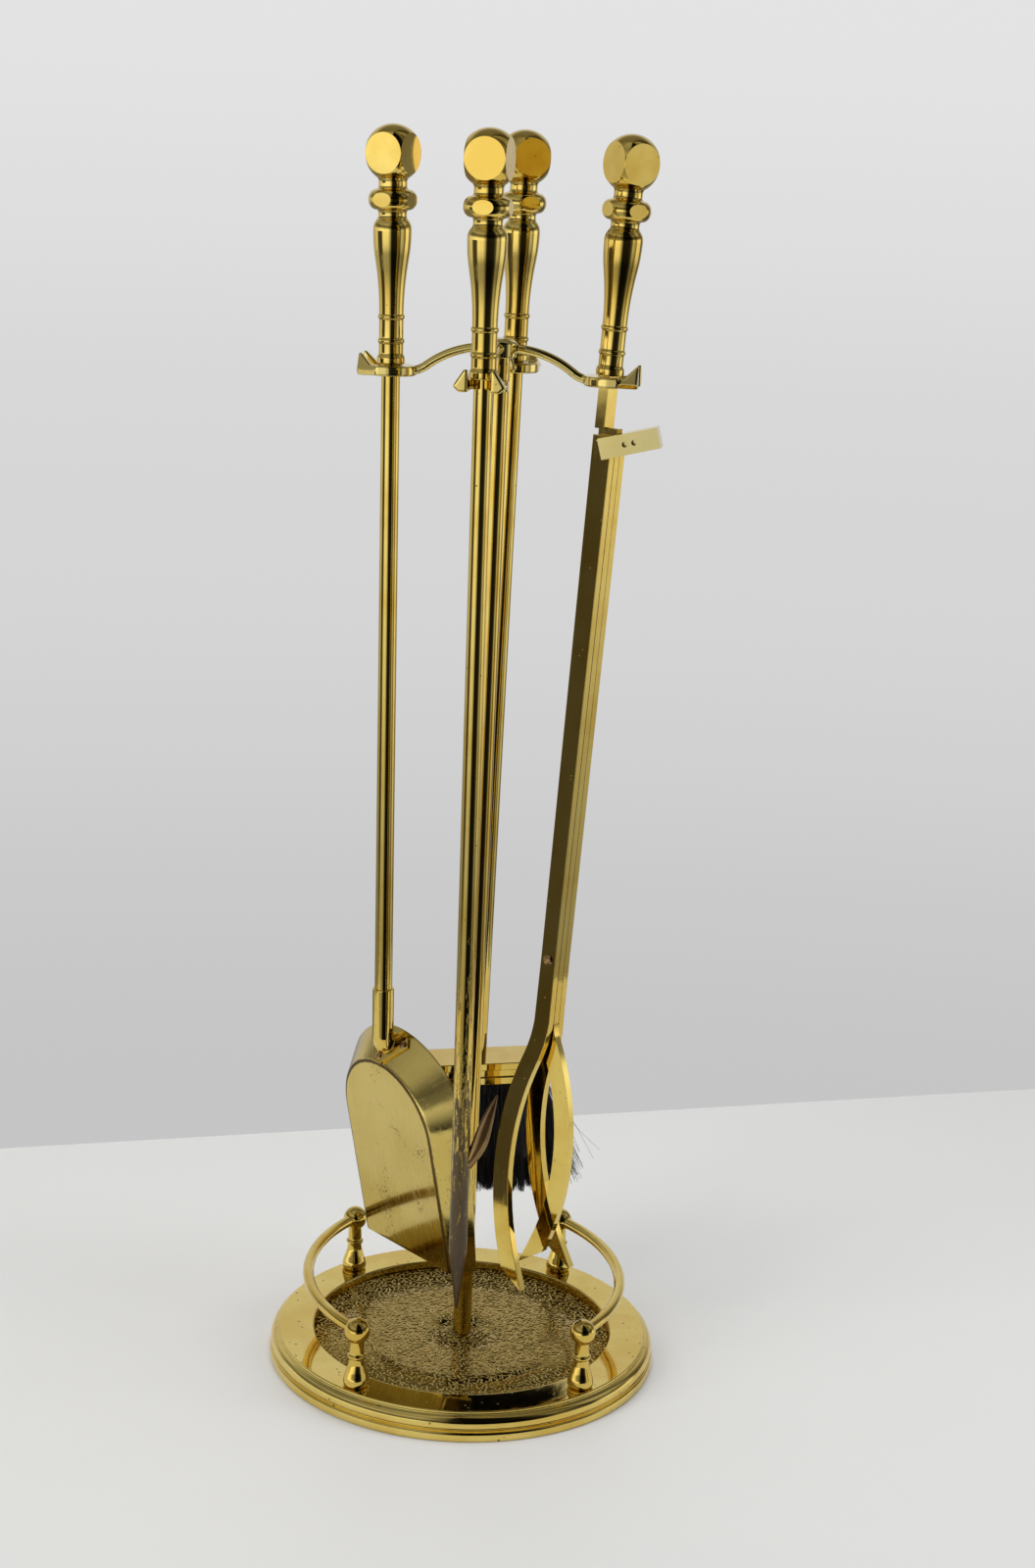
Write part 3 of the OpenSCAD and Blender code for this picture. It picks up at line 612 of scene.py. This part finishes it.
def build_handles(paints):
    """Turned grips whose knop and ball have four ground flats each."""
    turned_part = [
        (0.0, 0.0), (7.7, 0.0), (8.2, 0.5), (8.2, 4.3), (7.4, 5.4), (7.2, 6.2), (7.2, 12.1), (7.9, 12.7),
        (7.9, 14.3), (7.2, 14.9), (7.2, 26.1), (7.9, 26.7), (7.9, 28.3), (7.2, 28.9),
    ]
    body = [
        (7.2, 29.4), (7.3, 35.0), (7.6, 41.0), (8.1, 47.0), (8.8, 53.0), (9.7, 59.0), (10.6, 65.0),
        (11.1, 71.0), (11.3, 76.5),
    ]
    shoulder = [(11.3, 76.5), (11.1, 79.6), (9.7, 82.2), (NECK_R, 83.8), (NECK_R, 87.4), (9.4, 88.2)]
    half, root = 5.9, 9.3
    knop = []
    for turn in range(-84, 85, 6):
        h = half * math.sin(math.radians(turn))
        knop.append((root + (KNOP_R - root) * math.sqrt(1 - (h / half) ** 2), KNOP_Z + h))
    neck = [(9.4, 99.8), (NECK_R, 100.9), (NECK_R, 104.6), (8.6, 105.3)]
    profile = rounded(turned_part, 0.6) + curved(body) + rounded(shoulder, 1.4) + knop + rounded(neck, 0.7)
    profile += cut_ball(BALL_R, BALL_Z, 8.6, BALL_FLAT)
    for tool, turn in FLAT_TURN.items():
        piece = faceted(tool + "_grip", profile, hanging(tool, turn), handle_flats)
        finish_piece(piece, [tool + "_handle"], tool, paints["polished"])


# Shovel pan: half width, length, height of the wall at its closed end and at the lip, how far the wall
# leans out over that height, and the sheet's thickness.
PAN_HALF, PAN_LONG = 44.0, 137.0
PAN_WALL, PAN_LIP, PAN_FLARE = 20.0, 13.0, 17.0
PAN_SHEET = 1.3


def pan_place():
    """Frame of the pan: its floor in the plane z = 0, its closed end towards +Y and its wall towards +Z."""
    tilt = Matrix.Rotation(math.radians(101.0), 4, "X")
    flip = Matrix.Scale(-1.0, 4, (0.0, 0.0, 1.0))
    return hanging("shovel", SHOVEL_YAW) @ Matrix.Translation((0.0, 4.2, -PAN_DROP)) @ tilt @ flip


def build_pan(paints):
    """Sheet pan: a round-ended floor, a rolled bend and a wall that leans out and falls towards the lip."""
    straight = PAN_LONG - PAN_HALF
    slope = math.atan2(PAN_FLARE, PAN_WALL)
    bend_r = 5.0
    rise = math.pi / 2 - slope
    setback = bend_r * math.tan(rise / 2)
    path = []
    for i in range(41):
        path.append((PAN_HALF, straight * (i / 40 - 1), 1.0, 0.0))
    for i in range(1, 97):
        turn = math.pi * i / 96
        path.append((PAN_HALF * math.cos(turn), PAN_HALF * math.sin(turn), math.cos(turn), math.sin(turn)))
    for i in range(1, 41):
        path.append((-PAN_HALF, -straight * i / 40, -1.0, 0.0))
    inset = [PAN_HALF * (1 - i / 20) for i in range(18)] + [5.6, 4.6, 3.8, 3.1]
    section = [(-d, 0.0, setback - d) for d in inset]
    for i in range(13):
        a = rise * i / 12
        section.append((bend_r * math.sin(a) - setback, bend_r * (1 - math.cos(a)), bend_r * a))
    # Distance given to the wall, where the wear of the bend has faded out.
    past_bend = 9.0
    verts, faces, wear, lips = [], [], [], []
    wall_steps = 14
    for x, y, nx, ny in path:
        top = PAN_WALL if y >= 0 else PAN_WALL + (PAN_WALL - PAN_LIP) * y / straight
        low_out, low_z = section[-1][0], section[-1][1]
        wall = []
        for j in range(1, wall_steps + 1):
            share = j / wall_steps
            out_there = low_out + (math.tan(slope) * top - low_out) * share
            wall.append((out_there, low_z + (top - low_z) * share, past_bend))
        near_lip = max(0.0, 1 - (y + straight) / 3.0)
        for out, z, along in section + wall:
            verts.append((x + nx * out, y + ny * out, z))
            off = along - 0.4 * bend_r * rise
            crease, haze = math.exp(-((off / 0.9) ** 2)), math.exp(-((off / 3.2) ** 2))
            wear.append(0.95 * crease + 0.42 * haze + 0.4 * near_lip)
            depth = min(1.0, max(0.0, (-34.0 - y - 0.25 * (x + PAN_HALF)) / 26.0))
            lips.append(depth * depth * (3 - 2 * depth) * (1.0 if along < past_bend else 0.3))
    row = len(section) + wall_steps
    for i in range(len(path) - 1):
        for j in range(row - 1):
            faces.append((i * row + j, (i + 1) * row + j, (i + 1) * row + j + 1, i * row + j + 1))
    mesh = bpy.data.meshes.new("shovel_pan_sheet")
    place = pan_place()
    mesh.from_pydata([place @ Vector(v) * MM for v in verts], [], faces)
    for title, values in (("wear", wear), ("lip", lips)):
        layer = mesh.attributes.new(title, "FLOAT", "POINT")
        for i, value in enumerate(values):
            layer.data[i].value = value
    work = bmesh.new()
    work.from_mesh(mesh)
    bmesh.ops.remove_doubles(work, verts=work.verts, dist=5e-6)
    bmesh.ops.recalc_face_normals(work, faces=work.faces)
    inward = (place.to_3x3() @ Vector((0.0, 0.0, 1.0))).normalized()
    work.faces.ensure_lookup_table()
    flat = max(work.faces, key=lambda f: abs(f.normal.dot(inward)))
    if flat.normal.dot(inward) > 0:
        bmesh.ops.reverse_faces(work, faces=work.faces)
    work.to_mesh(mesh)
    work.free()
    for face in mesh.polygons:
        face.use_smooth = True
    piece = bpy.data.objects.new("shovel_pan_sheet", mesh)
    bpy.context.scene.collection.objects.link(piece)
    solid = piece.modifiers.new("sheet", "SOLIDIFY")
    solid.thickness = PAN_SHEET * MM
    solid.offset = -1.0
    solid.use_even_offset = True
    edge = piece.modifiers.new("edge", "BEVEL")
    edge.width = 0.3 * MM
    edge.segments = 2
    edge.limit_method = "ANGLE"
    edge.angle_limit = math.radians(60)
    finish_piece(piece, ["shovel_pan"], "shovel", paints["sheet"])
    socket = cast("shovel_socket", "shovel_socket_cast", 0.3, 5, hanging("shovel", SHOVEL_YAW))
    finish_piece(socket, ["shovel_socket"], "shovel", paints["polished"])


def build_barb(paints):
    """Leaf-shaped hook welded to the poker: a round root, a full belly, and a point that turns up."""
    # Along the leaf: share of its length, middle of the section, half width, half thickness.
    keys = [
        (0.0, (3.6, -1.0), 4.4, 3.3), (0.12, (6.0, 1.6), 3.7, 3.4), (0.24, (8.6, 6.0), 4.3, 3.3),
        (0.38, (11.2, 12.0), 4.7, 3.1), (0.55, (13.6, 20.0), 4.4, 2.6), (0.75, (16.4, 29.6), 3.2, 1.8),
        (0.9, (19.0, 37.4), 1.7, 1.0), (1.0, (21.0, 43.0), 0.3, 0.25),
    ]
    centres = curved([key[1] for key in keys], 8)
    widths = curved([key[2:] for key in keys], 8)
    stations = []
    for i, (middle, (half, thick)) in enumerate(zip(centres, widths)):
        before, after = Vector(centres[max(i - 1, 0)]), Vector(centres[min(i + 1, len(centres) - 1)])
        along = (after - before).normalized()
        stations.append((tuple(middle), (along.y, -along.x), max(half, 0.25), max(thick, 0.2)))
    place = hanging("poker", 0.0) @ Matrix.Translation((0.0, 0.0, BARB_UP - POKER_LONG))
    piece = swept("poker_barb_leaf", stations, place, 36, 2.2)
    finish_piece(piece, ["poker_barb"], "poker", paints["burnt"])


def build_tongs(paints):
    """Flat bars with eased edges, and the milled thumb block with its two pin holes."""
    for node, body in (
        ("tongs_fixed_arm", "tongs"), ("tongs_front_arm", "tongs_claws"), ("tongs_rear_arm", "tongs_claws"),
    ):
        piece = eased(node, node + "_bar", 0.5)
        finish_piece(piece, [node], body, paints["polished"])
    block = crisp("tongs_thumb_block", "tongs_thumb_block_milled")
    finish_piece(block, ["tongs_thumb_block"], "tongs_claws", paints["milled"])


def build_brush(paints):
    """Pressed cap, loose hairs that gather in clumps, and long strays at the right."""
    cap = eased("brush_cap", "brush_cap_pressed", 0.8, 4)
    finish_piece(cap, ["brush_cap"], "brush", paints["polished"])

    rng = random.Random(7)
    place = hanging("brush", BRUSH_YAW) @ Matrix.Translation((0.0, 0.0, -BRISTLE_DROP))
    # Each clump: where it stands on the head, then how far its tip leans in X, in Y and stops short in Z.
    clumps = []
    for _ in range(230):
        stand = (rng.uniform(-1, 1), rng.uniform(-1, 1))
        clumps.append((*stand, rng.gauss(0, 1.3), rng.gauss(0, 0.9), rng.uniform(0, 5.5)))
    verts, faces = [], []
    hairs, rings, sides = 8600, 6, 3
    # Reach of the hairs in the head's frame: left, right, and front or back.
    left, right, deep = -62.0, 88.0, 17.5
    for number in range(hairs):
        u, v = rng.uniform(-1, 1), rng.uniform(-1, 1)
        stray = number % 38 == 0
        clump = min(clumps, key=lambda c: (c[0] - u) ** 2 * 9 + (c[1] - v) ** 2)
        root = Vector((u * 45.0, v * 10.5, 1.0))
        pull = 0.0 if stray else rng.uniform(0.35, 0.9)
        end_u = u + (clump[0] - u) * pull
        end_v = v + (clump[1] - v) * pull
        wander = 3.4 if stray else 1.0
        outward = math.copysign(max(abs(u) - 0.7, 0.0) / 0.3, u)
        flare = outward * rng.uniform(0.0, 20.0 if u > 0 else 6.0)
        tip = Vector((
            end_u * 56.0 + clump[2] + flare + rng.gauss(0, 0.9) * wander,
            end_v * 14.0 + clump[3] + rng.gauss(0, 0.7) * wander,
            -78.5 + abs(rng.gauss(0, 2.6)) + clump[4] + abs(outward) * rng.uniform(0.0, 17.0),
        ))
        if stray and u > 0.75:
            tip.x += rng.uniform(2.0, 15.0)
            tip.z += rng.uniform(0.0, 16.0)
        tip.x = max(left, min(right, tip.x))
        tip.y = max(-deep, min(deep, tip.y))
        bow = Vector((rng.gauss(0, 1.2) * wander, rng.gauss(0, 1.0) * wander, 0.0))
        thick = rng.uniform(0.2, 0.3)
        spin = rng.uniform(0, 2 * math.pi)
        base = len(verts)
        for ring in range(rings):
            t = ring / (rings - 1)
            mid = root.lerp(tip, t) + bow * math.sin(math.pi * t) * 0.9
            mid += Vector((tip.x - root.x, tip.y - root.y, 0.0)) * (t * t - t) * 0.35
            radius = thick * (1 - 0.55 * t)
            for side in range(sides):
                a = spin + 2 * math.pi * side / sides
                verts.append((mid.x + radius * math.cos(a), mid.y + radius * math.sin(a), mid.z))
        for ring in range(rings - 1):
            for side in range(sides):
                a, b = base + ring * sides, base + (ring + 1) * sides
                nxt = (side + 1) % sides
                faces.append((a + side, a + nxt, b + nxt, b + side))
    bristles = new_piece("brush_bristle_tufts", verts, faces, place)
    finish_piece(bristles, ["brush_bristles"], "brush", paints["bristle"])

    # The dark heart that fills the inside of the tufts.
    verts, faces = [], []
    steps, around = 14, 64
    for level in range(steps + 1):
        t = level / steps
        half_x, half_y = 44.0 + 5.0 * t, 10.0 + 1.0 * t
        for i in range(around):
            turn = 2 * math.pi * i / around
            c, s = math.cos(turn), math.sin(turn)
            x = math.copysign(abs(c) ** 0.25, c) * half_x
            y = math.copysign(abs(s) ** 0.25, s) * half_y
            shake = noise.noise(Vector((x * 0.21, y * 0.21, t * 4.0)))
            verts.append((x * (1 + 0.02 * shake), y * (1 + 0.08 * shake), 1.0 - 56.0 * t + 5.0 * shake * t))
    for level in range(steps):
        for i in range(around):
            j = (i + 1) % around
            a, b = level * around, (level + 1) * around
            faces.append((a + i, a + j, b + j, b + i))
    faces.append(tuple(reversed(range(around))))
    faces.append(tuple(range(steps * around, (steps + 1) * around)))
    core = new_piece("brush_bristle_heart", verts, faces, place)
    finish_piece(core, [], "brush", paints["bristle"])


def paint_cad_nodes(paints):
    """The CAD nodes whose own shape shows keep it and get their finish."""
    chosen = {
        "column": "polished", "column_washer": "steel", "column_nut": "steel",
        "bracket_screw": "bright", "post_screws": "steel", "rail_left": "polished", "rail_right": "polished",
        "shovel_shaft": "polished", "shovel_rivets": "bronze", "poker_shaft": "tarnished",
        "brush_shaft": "polished", "brush_block": "wood", "tongs_pivot_rivet": "bronze",
    }
    for node, paint in chosen.items():
        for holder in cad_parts[node].material_slots:
            holder.material = paints[paint]


# ---------------------------------------------------------------- room


def slab(name, low, high, material, slant=0.0):
    """A thick slab of floor; its back edge runs away from the front by `slant` for each unit to the right."""
    (x0, y0), (x1, y1) = low, high
    verts = [(x0, y0, 0), (x1, y0, 0), (x1, y1 + slant * x1, 0), (x0, y1 + slant * x0, 0)]
    verts += [(x, y, -30) for x, y, _ in verts]
    sides = [(i, i + 4, (i + 1) % 4 + 4, (i + 1) % 4) for i in range(4)]
    floor = new_piece(name, verts, [(0, 1, 2, 3), (7, 6, 5, 4), *sides], smooth=False)
    floor.data.materials.append(material)
    return floor


def build_room():
    """A pale floor and a soft room. Only the floor near the object shows in reflections, as a table top would."""
    paint = Paint("floor_white", 0.0)
    paint.colour(paint.mix(paint.noise(3.0, 3.0), (0.82, 0.82, 0.80), (0.86, 0.86, 0.84)))
    paint.rough(paint.span(paint.noise(200.0), 0.3, 0.7, 0.5, 0.6))
    near, far, back, slant = 420, 4000, 386, 0.188
    slab("floor_near", (-700, -near), (700, back), paint.material, slant)
    slab("floor_front", (-far, -far), (far, -near), paint.material).visible_glossy = False
    for name, low, high in (
        ("floor_left", (-far, -near), (-700, back)),
        ("floor_right", (700, -near), (far, back)),
    ):
        slab(name, low, high, paint.material, slant).visible_glossy = False

    world = bpy.data.worlds.new("room")
    bpy.context.scene.world = world
    world.use_nodes = True
    tree = world.node_tree
    tree.nodes.clear()
    where = tree.nodes.new("ShaderNodeTexCoord")
    split = tree.nodes.new("ShaderNodeSeparateXYZ")
    tree.links.new(where.outputs["Generated"], split.inputs[0])

    def ramp(source, low, high, stops):
        reach = tree.nodes.new("ShaderNodeMapRange")
        tree.links.new(source, reach.inputs[0])
        reach.inputs[1].default_value, reach.inputs[2].default_value = low, high
        node = tree.nodes.new("ShaderNodeValToRGB")
        node.color_ramp.interpolation = "EASE"
        tree.links.new(reach.outputs[0], node.inputs[0])
        while len(node.color_ramp.elements) < len(stops):
            node.color_ramp.elements.new(0.5)
        for element, (spot, tone) in zip(node.color_ramp.elements, stops):
            element.position = (spot - low) / (high - low)
            element.color = (tone, tone, tone * 1.01, 1.0)
        return node.outputs["Color"]

    # Angle round the object, 0 towards the front, positive to the right.
    turn = tree.nodes.new("ShaderNodeMath")
    turn.operation = "ARCTAN2"
    flip = tree.nodes.new("ShaderNodeMath")
    flip.operation = "MULTIPLY"
    flip.inputs[1].default_value = -1.0
    tree.links.new(split.outputs["Y"], flip.inputs[0])
    tree.links.new(split.outputs["X"], turn.inputs[0])
    tree.links.new(flip.outputs[0], turn.inputs[1])
    degrees = tree.nodes.new("ShaderNodeMath")
    degrees.operation = "MULTIPLY"
    degrees.inputs[1].default_value = 180.0 / math.pi
    tree.links.new(turn.outputs[0], degrees.inputs[0])
    round_about = ramp(degrees.outputs[0], -180.0, 180.0, [
        (-180.0, 0.66), (-128.0, 0.60), (-112.0, 0.90), (-60.0, 1.35), (-28.0, 1.30), (-15.0, 0.60),
        (-7.0, 0.05), (0.0, 0.015), (34.0, 0.02), (46.0, 0.12), (57.0, 0.75), (66.0, 0.60), (76.0, 0.30),
        (88.0, 1.30), (110.0, 1.15), (119.0, 0.20), (127.0, 0.20), (150.0, 0.60), (180.0, 0.66),
    ])
    front_height = ramp(split.outputs["Z"], -1.0, 1.0, [
        (-1.0, 0.35), (-0.35, 0.28), (-0.1, 0.85), (0.0, 1.0), (0.05, 0.95), (0.13, 0.22), (0.32, 0.10),
        (0.55, 0.36), (0.8, 0.22), (1.0, 0.30),
    ])
    back_height = ramp(split.outputs["Z"], -1.0, 1.0, [
        (-1.0, 0.35), (-0.35, 0.40), (-0.1, 0.9), (0.0, 1.0), (0.5, 1.0), (0.75, 0.35), (1.0, 0.30),
    ])
    behind = ramp(degrees.outputs[0], -180.0, 180.0, [
        (-180.0, 1.0), (-150.0, 0.9), (-122.0, 0.2), (-105.0, 0.0), (105.0, 0.0), (135.0, 0.8), (180.0, 1.0),
    ])
    # A dark patch low on the left.
    shade_side = ramp(degrees.outputs[0], -180.0, 180.0, [
        (-104.0, 0.0), (-92.0, 1.0), (-68.0, 1.0), (-58.0, 0.0),
    ])
    shade_height = ramp(split.outputs["Z"], -1.0, 1.0, [
        (-0.36, 0.0), (-0.28, 1.0), (-0.05, 1.0), (-0.02, 0.0),
    ])

    def blend(mode, share, first, second):
        node = tree.nodes.new("ShaderNodeMix")
        node.data_type = "RGBA"
        node.blend_type = mode
        sockets = (node.inputs["Factor"], node.inputs[6], node.inputs[7])
        for socket, value in zip(sockets, (share, first, second)):
            if isinstance(value, bpy.types.NodeSocket):
                tree.links.new(value, socket)
            else:
                socket.default_value = value
        return node.outputs[2]

    height = blend("MIX", behind, front_height, back_height)
    glow = blend("MULTIPLY", 1.0, round_about, height)
    shade = blend("MULTIPLY", 1.0, shade_side, shade_height)
    glow = blend("MIX", shade, glow, (0.07, 0.065, 0.06, 1.0))
    light = tree.nodes.new("ShaderNodeBackground")
    light.inputs["Strength"].default_value = 1.0
    tree.links.new(glow, light.inputs["Color"])
    # The wall as it is seen directly, lighter towards the top.
    wall = ramp(split.outputs["Z"], -1.0, 1.0, [
        (-1.0, 0.40), (-0.36, 0.56), (-0.15, 0.67), (0.05, 0.77), (1.0, 0.80),
    ])
    seen = tree.nodes.new("ShaderNodeBackground")
    tree.links.new(wall, seen.inputs["Color"])
    ray = tree.nodes.new("ShaderNodeLightPath")
    choose = tree.nodes.new("ShaderNodeMixShader")
    tree.links.new(ray.outputs["Is Camera Ray"], choose.inputs[0])
    tree.links.new(light.outputs[0], choose.inputs[1])
    tree.links.new(seen.outputs[0], choose.inputs[2])
    out = tree.nodes.new("ShaderNodeOutputWorld")
    tree.links.new(choose.outputs[0], out.inputs["Surface"])


def add_area(name, spot, target, size, power, tint=(1.0, 1.0, 1.0)):
    light = bpy.data.lights.new(name, "AREA")
    light.shape = "RECTANGLE"
    light.size, light.size_y = size
    light.energy = power
    light.color = tint
    lamp = bpy.data.objects.new(name, light)
    lamp.location = spot
    lamp.rotation_mode = "QUATERNION"
    lamp.rotation_quaternion = (Vector(target) - Vector(spot)).to_track_quat("-Z", "Y")
    lamp.visible_glossy = False
    bpy.context.scene.collection.objects.link(lamp)


def build_lights():
    """Soft studio lights that don't show in the brass."""
    add_area("key", (-1.5, -1.1, 1.5), (0, 0, 0.4), (0.9, 1.1), 16, (1.0, 0.985, 0.96))
    add_area("fill", (1.7, -0.5, 1.1), (0, 0, 0.35), (0.7, 1.2), 8, (0.98, 0.99, 1.0))
    add_area("top", (0.1, 0.2, 2.1), (0, 0, 0.2), (1.6, 1.4), 22)


CAMERA_SPOT = (-0.09778, -1.50414, 0.75683)
CAMERA_LENS = 58.77


def build_camera():
    """The camera at the photo's viewing angle. Its angles are in radians."""
    pitch, yaw, roll = 0.2476, -0.0787, 0.0429
    forward = Vector((-math.sin(yaw) * math.cos(pitch), math.cos(yaw) * math.cos(pitch), -math.sin(pitch)))
    right = Vector((math.cos(yaw), math.sin(yaw), 0.0))
    up = right.cross(forward)
    side = right * math.cos(roll) + up * math.sin(roll)
    top = up * math.cos(roll) - right * math.sin(roll)
    camera = bpy.data.objects.new("camera", bpy.data.cameras.new("camera"))
    camera.data.sensor_width = 36.0
    camera.data.lens = CAMERA_LENS
    camera.data.clip_start, camera.data.clip_end = 0.05, 50.0
    turn = Matrix((side, top, -forward)).transposed()
    camera.matrix_world = Matrix.Translation(CAMERA_SPOT) @ turn.to_4x4()
    bpy.context.scene.collection.objects.link(camera)
    bpy.context.scene.camera = camera


build_camera()
finishes = make_materials()
paint_cad_nodes(finishes)
build_base(finishes)
build_panel(finishes)
build_posts(finishes)
build_bracket(finishes)
build_handles(finishes)
build_pan(finishes)
build_barb(finishes)
build_tongs(finishes)
build_brush(finishes)
build_room()
build_lights()
bpy.context.scene.view_settings.view_transform = "Standard"
